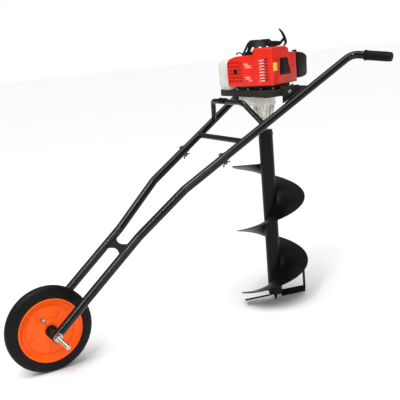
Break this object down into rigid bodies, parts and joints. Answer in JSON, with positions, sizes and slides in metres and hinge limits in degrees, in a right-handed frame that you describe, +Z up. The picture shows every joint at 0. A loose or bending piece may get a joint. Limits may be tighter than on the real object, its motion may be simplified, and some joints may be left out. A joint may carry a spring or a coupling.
{
  "type": "single-wheel petrol auger",
  "caption": "Push auger: a petrol power head hangs in a tilting cradle between two bent frame tubes over one wheel and drives a flighted drill through a reduction gearbox.",
  "frame": {"origin": "bottom centre of the whole object's bounding box, on the ground plane", "axes": "+X from the wheel towards the handles, +Y along the wheel axle towards the tank side, +Z up"},
  "size_m": [1.5342, 0.8298, 1.1737],
  "materials": {
    "frame_paint": "gloss black powder coat",
    "cradle_paint": "satin black paint",
    "grip_rubber": "ribbed soft rubber",
    "tyre": "solid black tyre rubber",
    "rim_paint": "gloss orange paint",
    "zinc_plate": "bright zinc plating",
    "ground_steel": "ground steel",
    "cast_alloy": "as-cast, lightly blasted",
    "bronze": "sintered bronze",
    "red_plastic": "gloss moulded red",
    "black_plastic": "satin moulded black",
    "tank_plastic": "milky translucent",
    "filter_foam": "open-cell foam",
    "auger_paint": "satin black paint"
  },
  "bodies": {
    "frame": {"right_frame_tube": "frame_paint", "left_frame_tube": "frame_paint", "right_handlebar": "frame_paint", "left_handlebar": "frame_paint", "grips": "grip_rubber", "fork_bridge": "frame_paint", "cross_tube": "frame_paint", "rest_yoke": "frame_paint", "yoke_pad": "grip_rubber", "wing_screws": "zinc_plate", "pivot_brackets": "cradle_paint", "pivot_bolts": "zinc_plate", "axle_bolt": "zinc_plate", "axle_spacers": "ground_steel"},
    "wheel": {"tyre": "tyre", "right_rim_half": "rim_paint", "left_rim_half": "rim_paint", "hub": "cradle_paint", "wheel_bearings": "ground_steel", "valve_stem": "bronze", "rim_bolts": "zinc_plate"},
    "power_head": {"cradle": "cradle_paint", "pivot_bushes": "bronze", "gearbox_case": "cast_alloy", "gearbox_lid": "cast_alloy", "case_bolts": "zinc_plate", "output_bearings": "ground_steel", "shaft_seal": "grip_rubber", "clutch_housing": "cast_alloy", "crankcase": "cast_alloy", "cylinder": "cast_alloy", "piston": "cast_alloy", "spark_plug": "zinc_plate", "silencer": "ground_steel", "engine_cover": "red_plastic", "head_hatch": "black_plastic", "fuel_tank": "tank_plastic", "carburettor": "cast_alloy", "filter_cover": "black_plastic", "filter_element": "filter_foam", "starter_housing": "black_plastic"},
    "auger": {"output_shaft": "ground_steel", "auger_tube": "auger_paint", "auger_flight": "auger_paint", "cutting_blades": "auger_paint", "pilot_point": "auger_paint", "flight_strut": "auger_paint", "drive_pin": "zinc_plate"},
    "lay_shaft": {"lay_gears": "ground_steel"},
    "clutch_output": {"clutch_drum": "ground_steel"},
    "crank": {"crankshaft": "ground_steel", "flywheel_fan": "cast_alloy", "clutch_shoes": "ground_steel"},
    "pull_grip": {"starter_grip": "black_plastic"},
    "rope_reel": {"starter_reel": "black_plastic"},
    "tank_cap": {"fuel_cap": "black_plastic"},
    "throttle": {"throttle_lever": "black_plastic"},
    "choke": {"choke_lever": "black_plastic"},
    "primer": {"primer_bulb": "grip_rubber"},
    "switch": {"stop_switch": "black_plastic"}
  },
  "joints": [
    {"name": "wheel_spin", "type": "hinge", "parent": "frame", "child": "wheel", "pos_m": [-0.60215, 0, 0.165], "axis": [0, 1, 0], "continuous": true},
    {"name": "cradle_tilt", "type": "hinge", "parent": "frame", "child": "power_head", "pos_m": [0.42545, 0, 0.925], "axis": [0, 1, 0], "range_deg": [-24, 20]},
    {"name": "auger_spin", "type": "hinge", "parent": "power_head", "child": "auger", "pos_m": [0.42545, 0, 0.742], "axis": [0, 0, 1], "continuous": true},
    {"name": "lay_spin", "type": "hinge", "parent": "power_head", "child": "lay_shaft", "pos_m": [0.38684, 0.0324, 0.903], "axis": [0, 0, 1], "continuous": true},
    {"name": "clutch_spin", "type": "hinge", "parent": "power_head", "child": "clutch_output", "pos_m": [0.42545, 0, 0.903], "axis": [0, 0, 1], "continuous": true},
    {"name": "crank_spin", "type": "hinge", "parent": "power_head", "child": "crank", "pos_m": [0.42545, 0, 1], "axis": [0, 0, 1], "continuous": true},
    {"name": "starter_pull", "type": "slide", "parent": "power_head", "child": "pull_grip", "axis": [1, 0, 0], "range_m": [0, 0.05], "stiffness_N_per_m": 150, "springref_m": -0.06},
    {"name": "reel_turn", "type": "hinge", "parent": "power_head", "child": "rope_reel", "pos_m": [0.42545, 0, 1.112], "axis": [0, 0, 1], "range_deg": [0, 90]},
    {"name": "cap_turn", "type": "hinge", "parent": "power_head", "child": "tank_cap", "pos_m": [0.44319, 0.12671, 1.071], "axis": [0, 0, 1], "range_deg": [0, 360]},
    {"name": "throttle_turn", "type": "hinge", "parent": "power_head", "child": "throttle", "pos_m": [0.50805, -0.03805, 1.044], "axis": [0, 0, 1], "range_deg": [0, 60], "stiffness_Nm_per_rad": 0.02, "springref_deg": -17.19},
    {"name": "choke_turn", "type": "hinge", "parent": "power_head", "child": "choke", "pos_m": [0.59581, -0.0061, 1.048], "axis": [0.9397, 0.342, 0], "range_deg": [0, 60]},
    {"name": "primer_press", "type": "slide", "parent": "power_head", "child": "primer", "axis": [-0.342, 0.9397, 0], "range_m": [0, 0.004], "stiffness_N_per_m": 400},
    {"name": "switch_slide", "type": "slide", "parent": "power_head", "child": "switch", "axis": [0.9397, 0.342, 0], "range_m": [0, 0.006]}
  ],
  "couplings": [
    {"joint": "lay_spin", "follows": "auger_spin", "ratio": -5},
    {"joint": "clutch_spin", "follows": "auger_spin", "ratio": 25},
    {"joint": "reel_turn", "follows": "starter_pull", "rad_per_m": 30.864}
  ]
}
